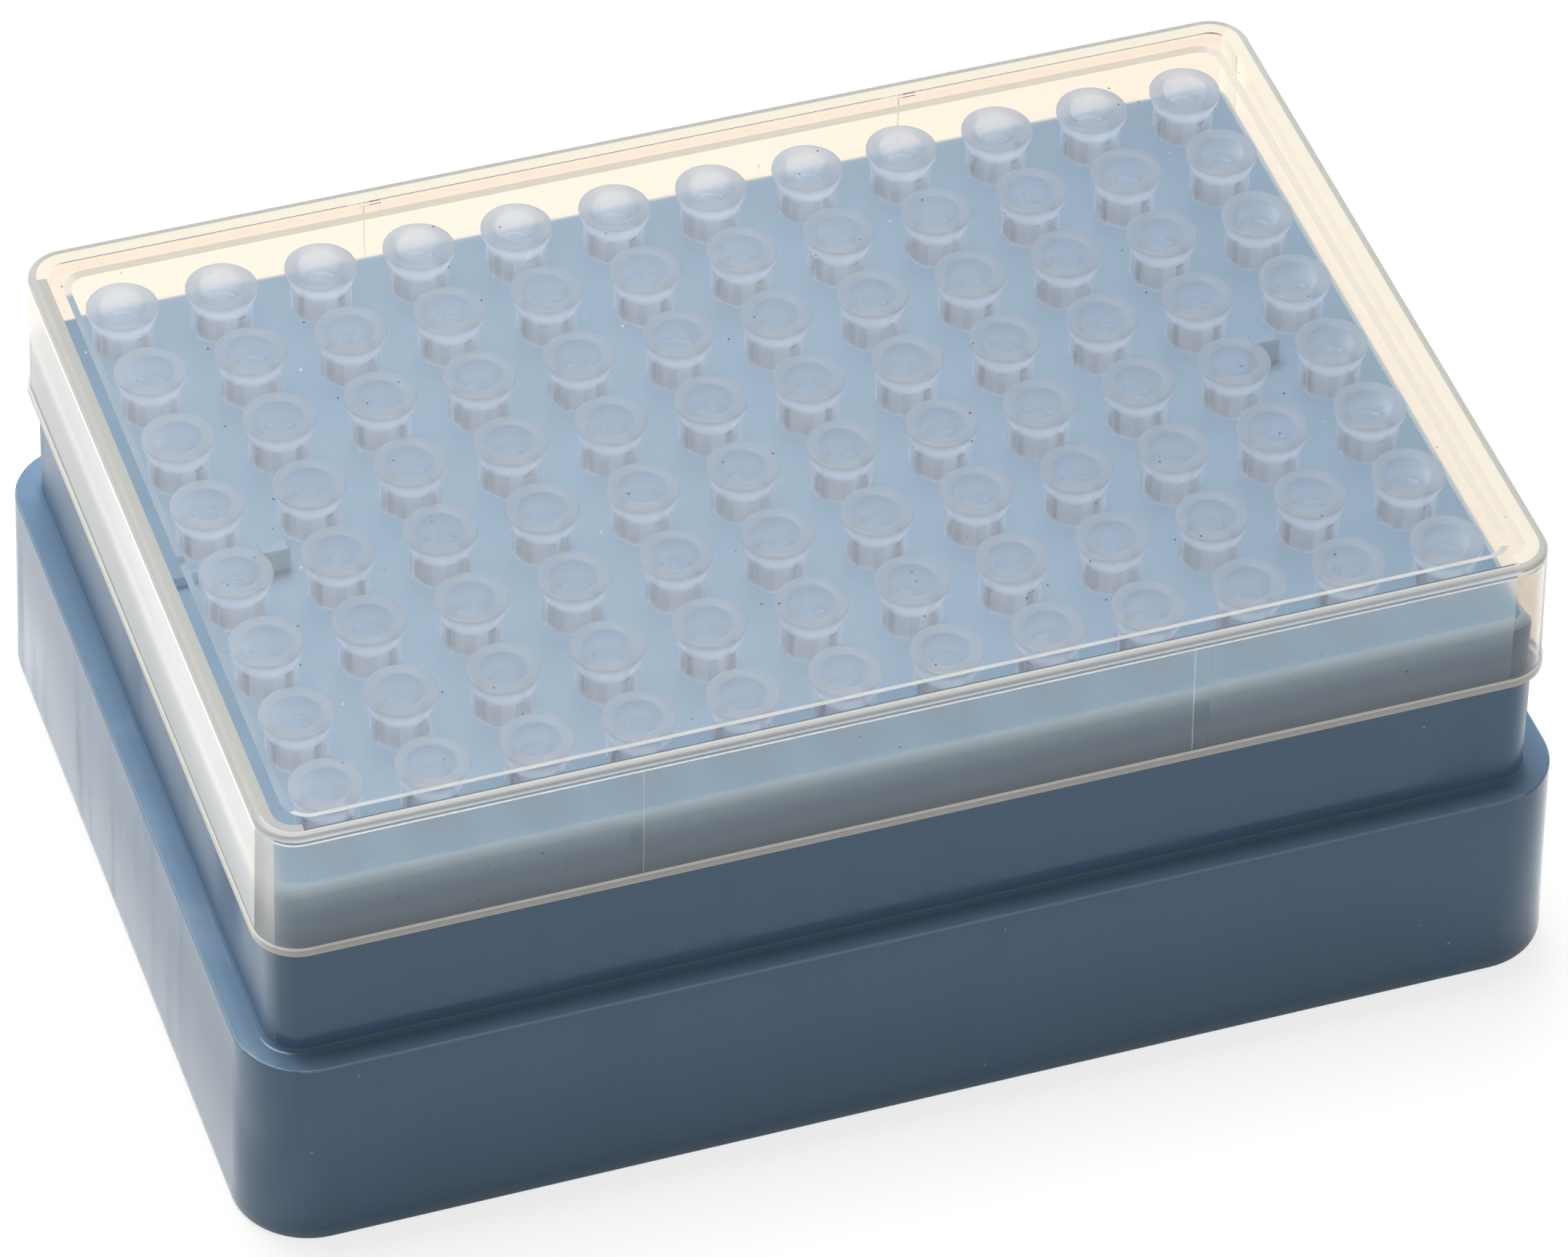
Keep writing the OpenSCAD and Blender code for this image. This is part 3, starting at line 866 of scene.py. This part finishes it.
def new_material(name):
    """Makes a material: its nodes, its output and the object's coordinates."""
    material = bpy.data.materials.new(name)
    material.use_nodes = True
    tree = material.node_tree
    tree.nodes.clear()
    output = tree.nodes.new("ShaderNodeOutputMaterial")
    return material, tree, output, add(tree, "TexCoord").outputs["Object"]


def level_part(tree):
    """How far the surface looks up: the height of its normal."""
    return axes(tree, add(tree, "TexCoord").outputs["Normal"])["Z"]


# ---------------------------------------------------------------- plastics

BLUE = (0.14, 0.26, 0.41)
POLYPROPYLENE_IOR = 1.49
MILK_SHARE = 0.44
MOST_PALE = 0.97
# Heights over which the lower edge fades out of its pale cyan: a painted glow of light from the
# floor.
FOOT_GLOW_HEIGHTS = (0.0002, 0.0014)


def blue_plastic(name, colour, roughness, gloss, top_sheen=0.0, foot=0.0):
    """Moulded polypropylene, slightly uneven in colour, with fine grain and dust.

    top_sheen is how far the faces that look up are paled towards grey, a painted sheen, and foot
    how pale the lower edge is, a painted glow of light from the floor.
    """
    material, tree, output, place = new_material(name)
    grain = place_group(tree, GRAIN, [("Coordinates", place), ("Grain", 2600.0),
                                      ("Roughness", roughness), ("Spread", 0.14)]).outputs
    dust = place_group(tree, SPECKS, [("Coordinates", place), ("Scale", 700.0),
                                      ("Size", 0.09), ("Share", 0.04)]).outputs
    bands = add(tree, "Mapping", [("Vector", place), ("Scale", (1.0, 1.0, 0.12))])
    flow = add(tree, "TexNoise", [("Vector", bands.outputs[0]), ("Scale", 110.0),
                                  ("Detail", 3.0)]).outputs["Fac"]
    streak = ramp(tree, flow, 0.5, 0.7, 0.0, 0.3)
    # Faces that look up are paled towards grey: a painted sheen.
    level = ramp(tree, level_part(tree), 0.7, 1.0, 0.0, top_sheen)
    # The lowest edge is paled towards cyan: a painted glow of light from the floor.
    low = ramp(tree, axes(tree, place)["Z"], *FOOT_GLOW_HEIGHTS, foot, 0.0)
    shade = mix_colours(tree, flow, rgba(colour, 0.93), rgba(colour, 1.07))
    shade = mix_colours(tree, level, shade, (0.55, 0.55, 0.55, 1))
    shade = mix_colours(tree, low, shade, (0.45, 0.60, 0.68, 1))
    shade = mix_colours(tree, dust["Mask"], shade, (0.55, 0.58, 0.6, 1))
    bump = add(tree, "Bump", [("Strength", 0.12), ("Distance", 0.00003),
                              ("Height", grain["Height"])])
    shader = add(tree, "BsdfPrincipled", [
        ("Base Color", shade), ("Roughness", calculate(tree, "ADD", grain["Roughness"], streak)),
        ("Normal", bump.outputs[0]), ("IOR", POLYPROPYLENE_IOR), ("Specular IOR Level", gloss)])
    tree.links.new(shader.outputs[0], output.inputs[0])
    return material


def see_through(tree, output, shader, shade):
    """Lets light shine straight through a clear or milky piece, dimmed by its shade."""
    clear = add(tree, "BsdfTransparent", [("Color", shade)])
    path = add(tree, "LightPath").outputs
    lights = calculate(tree, "MAXIMUM", path["Is Shadow Ray"], path["Is Diffuse Ray"])
    tree.links.new(mix_shaders(tree, lights, shader, clear).outputs[0], output.inputs[0])


def milky_plastic(name, milk_colour, face_on, edge_on):
    """Natural polypropylene of the tips: milky, translucent and faintly lilac.

    face_on and edge_on are the shares of light that pass straight through.
    """
    material, tree, output, place = new_material(name)
    grain = place_group(tree, GRAIN, [("Coordinates", place), ("Grain", 1800.0),
                                      ("Roughness", 0.35), ("Spread", 0.05)]).outputs
    uneven = add(tree, "TexNoise", [("Vector", place), ("Scale", 260.0), ("Detail", 2.0)])
    tint = mix_colours(tree, uneven.outputs["Fac"], (0.80, 0.88, 0.99, 1), (0.87, 0.93, 1.0, 1))
    bump = add(tree, "Bump", [("Strength", 0.06), ("Distance", 0.00002),
                              ("Height", grain["Height"])])
    glass = add(tree, "BsdfPrincipled", [
        ("Base Color", tint), ("Roughness", grain["Roughness"]), ("Normal", bump.outputs[0]),
        ("IOR", 1.4), ("Transmission Weight", 0.78)])
    cloud = add(tree, "BsdfTranslucent", [("Color", rgba(milk_colour))])
    thin = add(tree, "BsdfTransparent", [("Color", (0.93, 0.96, 1.0, 1))])
    edge = add(tree, "LayerWeight", [("Blend", 0.4)])
    clearness = ramp(tree, edge.outputs["Facing"], 0.0, 0.9, face_on, edge_on)
    milk = mix_shaders(tree, MILK_SHARE, glass, cloud)
    see_through(tree, output, mix_shaders(tree, clearness, milk, thin), (0.93, 0.94, 0.96, 1))
    return material


def lid_plastic(name, tint, roughness, haze, haze_colour,
                soft=False, ior=POLYPROPYLENE_IOR, painted_side_light=1.0):
    """Natural polypropylene of the lid: cream to look through, hazy over what is dark behind it.

    haze is the share of light that scatters in the plastic. Where soft is set it scatters
    onwards to the far side, and otherwise back. painted_side_light is how much paler the haze
    is where the surface turns down from level to upright: painted light for the sides that
    the lamp lights less.
    """
    material, tree, output, place = new_material(name)
    grain = place_group(tree, GRAIN, [("Coordinates", place), ("Grain", 900.0),
                                      ("Roughness", roughness), ("Spread", 0.2 * roughness)])
    specks = place_group(tree, SPECKS, [("Coordinates", place), ("Scale", 900.0),
                                        ("Size", 0.1), ("Share", 0.03)])
    colour = mix_colours(tree, specks.outputs["Mask"], rgba(tint), (0.1, 0.1, 0.12, 1))
    glass = add(tree, "BsdfPrincipled", [
        ("Base Color", colour), ("Roughness", grain.outputs["Roughness"]), ("IOR", ior),
        ("Transmission Weight", 1.0)])
    if soft:
        cloud = add(tree, "BsdfTranslucent", [("Color", rgba(haze_colour))])
    else:
        # Where the surface turns from level to upright the haze is paler: painted light for the
        # sides the lamp lights less.
        turned = ramp(tree, level_part(tree), 0.1, 1.0, 1.0, 0.0)
        paler = tuple(min(painted_side_light * c, MOST_PALE) for c in haze_colour)
        even = mix_colours(tree, turned, rgba(haze_colour), rgba(paler))
        cloud = add(tree, "BsdfPrincipled", [("Base Color", even), ("Roughness", 0.4),
                                             ("IOR", POLYPROPYLENE_IOR)])
    see_through(tree, output, mix_shaders(tree, haze, glass, cloud), (0.95, 0.945, 0.93, 1))
    return material


def base_finishes():
    """The base's finishes: BASE_BLUE, EDGE_HIGHLIGHT, PAINTED_REFLECTION_WALL."""
    # The base's own blue, with a painted sheen on the faces that look up and a painted glow at its
    # foot.
    return [blue_plastic("base_blue", BLUE, 0.16, 0.4, top_sheen=0.1, foot=0.5),
            # Paler blue for the ledge's outer edge: a painted highlight.
            blue_plastic("edge_highlight_blue", (0.24, 0.35, 0.46), 0.3, 0.5),
            # Paler blue for the upper walls of the short ends: a painted reflection. Its roughness
            # and gloss are real.
            blue_plastic("painted_reflection_blue", (0.20, 0.31, 0.45), 0.42, 0.5)]


def plate_finishes():
    """The plate's finishes: PLATE_BLUE, PEG_PAINTED_LIGHT, DECK_EDGE_HIGHLIGHT."""
    return [blue_plastic("plate_blue", BLUE, 0.35, 0.2),
            # Much paler blue for the pegs' upright sides: painted light.
            blue_plastic("peg_painted_light_blue", (0.50, 0.80, 1.0), 0.35, 0.2),
            # Paler blue for the deck's rounded edge: a painted highlight.
            blue_plastic("deck_edge_highlight_blue", (0.36, 0.48, 0.58), 0.3, 0.5)]


def tip_finishes():
    """The tips' finishes: MILKY, MILKY_RIM, BORE_STEP_HIGHLIGHT."""
    return [milky_plastic("milky_plastic", (0.66, 0.78, 1.0), 0.5, 0.42),
            milky_plastic("milky_rim_plastic", (0.45, 0.48, 0.57), 0.35, 0.35),
            # White milky finish on the far part of the bore's step: a painted highlight.
            milky_plastic("bore_step_highlight_plastic", (0.97, 0.98, 1.0), 0.0, 0.0)]


def lid_finishes():
    """The lid's finishes, in the order of their names from POLISHED to LEFT_STEP."""
    pale, cream, warm = (1.0, 0.985, 0.945), (1.0, 0.975, 0.92), (1.0, 0.93, 0.80)
    thick, veil = (0.9, 0.88, 0.8), (0.85, 0.92, 1.0)
    return [
        lid_plastic("polished_plastic", pale, 0.04, 0.02, veil),
        lid_plastic("cloudy_plastic", pale, 0.32, 0.25, (0.68, 0.84, 0.94), soft=True),
        lid_plastic("frosted_plastic", pale, 0.1, 0.035, veil),
        # Its sides get a paler haze: painted light.
        lid_plastic("thick_edge_plastic", thick, 0.45, 0.8, (0.50, 0.50, 0.47), painted_side_light=2.0),
        lid_plastic("step_plastic", cream, 0.36, 0.6, (0.90, 0.91, 0.90), soft=True),
        lid_plastic("corner_plastic", cream, 0.36, 0.7, (0.80, 0.79, 0.74), soft=True),
        # Warm cream copies on the far walls, the far rings of the top, the far step and the back
        # wall: painted light shining through on the far sides.
        lid_plastic("far_wall_plastic", (0.90, 0.79, 0.66), 0.1, 0.0, cream, ior=1.25),
        lid_plastic("deep_wall_plastic", warm, 0.36, 0.93, (0.84, 0.78, 0.65)),
        lid_plastic("short_wall_plastic", warm, 0.06, 0.0, cream, ior=1.85),
        # Pale soft haze for the rounding's shaded lower part and the cap: painted light.
        lid_plastic("painted_light_edge_plastic", pale, 0.4, 0.8, (0.74, 0.78, 0.80), soft=True),
        # A pale line along the near front of the top: a painted highlight.
        lid_plastic("bright_line_plastic", pale, 0.4, 0.8, (0.62, 0.66, 0.68)),
        # A cream haze on the left inner wall: painted light.
        lid_plastic("cream_wall_plastic", warm, 0.36, 0.5, (0.98, 0.86, 0.68), soft=True),
        lid_plastic("far_step_plastic", warm, 0.36, 0.93, (0.99, 0.92, 0.79)),
        lid_plastic("back_wall_plastic", (0.76, 0.64, 0.53), 0.1, 0.0, cream, ior=1.25),
        lid_plastic("hem_plastic", thick, 0.45, 0.8, (0.86, 0.85, 0.79)),
        lid_plastic("brim_plastic", pale, 0.4, 0.88, (0.43, 0.44, 0.415)),
        lid_plastic("guide_edge_plastic", pale, 0.36, 0.8, (0.88, 0.94, 0.98), soft=True),
        lid_plastic("front_wall_plastic", pale, 0.04, 0.24, (0.82, 0.91, 1.0)),
        lid_plastic("inner_fillet_plastic", pale, 0.45, 0.8, (0.36, 0.41, 0.45)),
        lid_plastic("left_step_plastic", pale, 0.1, 0.35, (0.90, 0.95, 0.98), soft=True, ior=1.05)]


# ---------------------------------------------------------------- floor, light and camera

# Where the mirrored floor darkens towards the front, and its darker strip beside the left end: a
# painted shadow of the box
MIRROR_FRONT = (-0.085, -0.058)
STRIP_LEFT, STRIP_RIGHT = (-0.0715, -0.0685), (-0.064, -0.060)
STRIP_SHARE = 0.67
GLOW_FRONT = (-0.055, -0.03)
# The grey of the painted shadow and the pale floor, as mirrored.
DARK_FLOOR, PALE_FLOOR = (0.42, 0.42, 0.42, 1), (0.98, 0.98, 0.98, 1)
SHADOW_GREY, SHADOW_GLOW = (0.3, 0.3, 0.3, 1), 0.78

LAMP_PLACE, LAMP_SIZE, LAMP_POWER = (-0.05, 0.45, 1.3), 0.8, 20
EYE_PLACE = (-0.18388, -0.51819, 0.52800)
EYE_AZIMUTH, EYE_ELEVATION, EYE_ROLL = 19.655, 42.80, 1.42
EYE_LENS, EYE_SENSOR = 195.75, 36


def seen_directly(tree):
    """1 for rays that show the surroundings as a picture, 0 for those that light by them."""
    path = add(tree, "LightPath").outputs
    seen = calculate(tree, "MAXIMUM", path["Is Camera Ray"], path["Is Glossy Ray"])
    seen = calculate(tree, "MAXIMUM", seen, path["Is Transmission Ray"])
    first = calculate(tree, "LESS_THAN", path["Diffuse Depth"], 0.5)
    return calculate(tree, "MULTIPLY", seen, first)


def floor():
    """White to look at with a soft shadow; in mirror images and through clear parts pale, with a
    painted shadow of the box towards the front and beside the left end.
    """
    start()
    bpy.ops.mesh.primitive_plane_add(size=6)
    piece = bpy.context.object
    piece.name = "floor"
    material, tree, output, place = new_material("pale_floor")
    path = add(tree, "LightPath").outputs
    looked_at = path["Is Camera Ray"]
    seen = seen_directly(tree)
    at = axes(tree, place)
    # A darker strip beside the left end: painted shadow.
    left = ramp(tree, at["X"], *STRIP_LEFT, 1.0, STRIP_SHARE)
    right = ramp(tree, at["X"], *STRIP_RIGHT, 0.0, 1 - STRIP_SHARE)
    strip = calculate(tree, "ADD", left, right)

    # Darker towards the front: painted shadow of the box.
    front = ramp(tree, at["Y"], *MIRROR_FRONT, 0.22, 1.0)
    bright = calculate(tree, "MULTIPLY", calculate(tree, "MULTIPLY", front, strip), seen)
    colour = mix_colours(tree, bright, DARK_FLOOR, PALE_FLOOR)
    matt = add(tree, "BsdfDiffuse", [("Color", mix_colours(tree, looked_at, colour, SHADOW_GREY))])

    glow = ramp(tree, at["Y"], *GLOW_FRONT, 0.0, 0.68, kind="SMOOTHSTEP")
    glow = calculate(tree, "MULTIPLY", glow, strip)
    glow = mix_values(tree, path["Is Transmission Ray"], glow, 0.3)
    glow = mix_values(tree, looked_at, glow, SHADOW_GLOW)
    glow = calculate(tree, "MULTIPLY", glow, seen)
    white = add(tree, "Emission", [("Color", (1, 1, 1, 1)), ("Strength", glow)])
    shader = add(tree, "AddShader", [(0, matt.outputs[0]), (1, white.outputs[0])])
    tree.links.new(shader.outputs[0], output.inputs[0])
    piece.data.materials.append(material)


def world():
    """White behind everything, dimmer overhead in mirror images, and dim as a light."""
    sky = bpy.data.worlds.new("studio")
    bpy.context.scene.world = sky
    sky.use_nodes = True
    tree = sky.node_tree
    tree.nodes.clear()
    output = tree.nodes.new("ShaderNodeOutputWorld")
    path = add(tree, "LightPath").outputs
    way = axes(tree, add(tree, "TexCoord").outputs["Generated"])
    climb = calculate(tree, "ABSOLUTE", way["Z"])
    horizon = ramp(tree, climb, 0.1, 0.4, 1.0, 0.3)
    shown = mix_values(tree, path["Is Transmission Ray"], horizon, 1.0)
    strength = mix_values(tree, seen_directly(tree), 0.2, shown)
    strength = calculate(tree, "MAXIMUM", path["Is Camera Ray"], strength)
    light = add(tree, "Background", [("Color", (1, 1, 1, 1)), ("Strength", strength)])
    tree.links.new(light.outputs[0], output.inputs[0])


def overhead_light():
    """A square soft light that faces the middle of the box."""
    data = bpy.data.lights.new("overhead", "AREA")
    data.shape = "SQUARE"
    data.size = LAMP_SIZE
    data.energy = LAMP_POWER
    lamp = bpy.data.objects.new("overhead", data)
    lamp.location = LAMP_PLACE
    lamp.rotation_euler = (-Vector(LAMP_PLACE)).to_track_quat("-Z", "Y").to_euler()
    bpy.context.scene.collection.objects.link(lamp)


def camera():
    """The camera, turned by azimuth, elevation and a slight roll."""
    data = bpy.data.cameras.new("camera")
    data.lens = EYE_LENS
    data.sensor_width = EYE_SENSOR
    eye = bpy.data.objects.new("camera", data)
    azimuth, elevation, roll = (math.radians(a) for a in (EYE_AZIMUTH, EYE_ELEVATION, EYE_ROLL))
    turn = (Matrix.Rotation(-azimuth, 4, "Z") @ Matrix.Rotation(math.pi / 2 - elevation, 4, "X")
            @ Matrix.Rotation(roll, 4, "Z"))
    eye.matrix_world = Matrix.Translation(EYE_PLACE) @ turn
    bpy.context.scene.collection.objects.link(eye)
    bpy.context.scene.camera = eye


# ---------------------------------------------------------------- the whole scene

def dress(piece, finishes, body, slot, *nodes):
    """Gives a piece its finishes and its body, and hides the nodes it stands for. The slot is not
    used.
    """
    places = [f.material_index for f in piece.data.polygons]
    piece.data.materials.clear()
    for finish in finishes:
        piece.data.materials.append(finish)
    piece.data.polygons.foreach_set("material_index", places)
    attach(piece, body)
    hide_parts(*nodes)


def build():
    """Sets up the studio, then models and dresses each piece."""
    camera()
    floor()
    world()
    overhead_light()
    dress(base_moulding(), base_finishes(), "box", "base_plastic", "base")
    dress(plate_moulding(), plate_finishes(), "box", "plate_plastic", "tip_plate")
    milky = tip_finishes()
    for c, column in enumerate(tip_columns(milky), 1):
        dress(column, milky, "box", "tip_plastic", "tip_column_%02d" % c)
    dress(lid_shell(), lid_finishes(), "lid", "clear_plastic", "lid")
    bpy.context.scene.view_settings.view_transform = "Standard"


build()
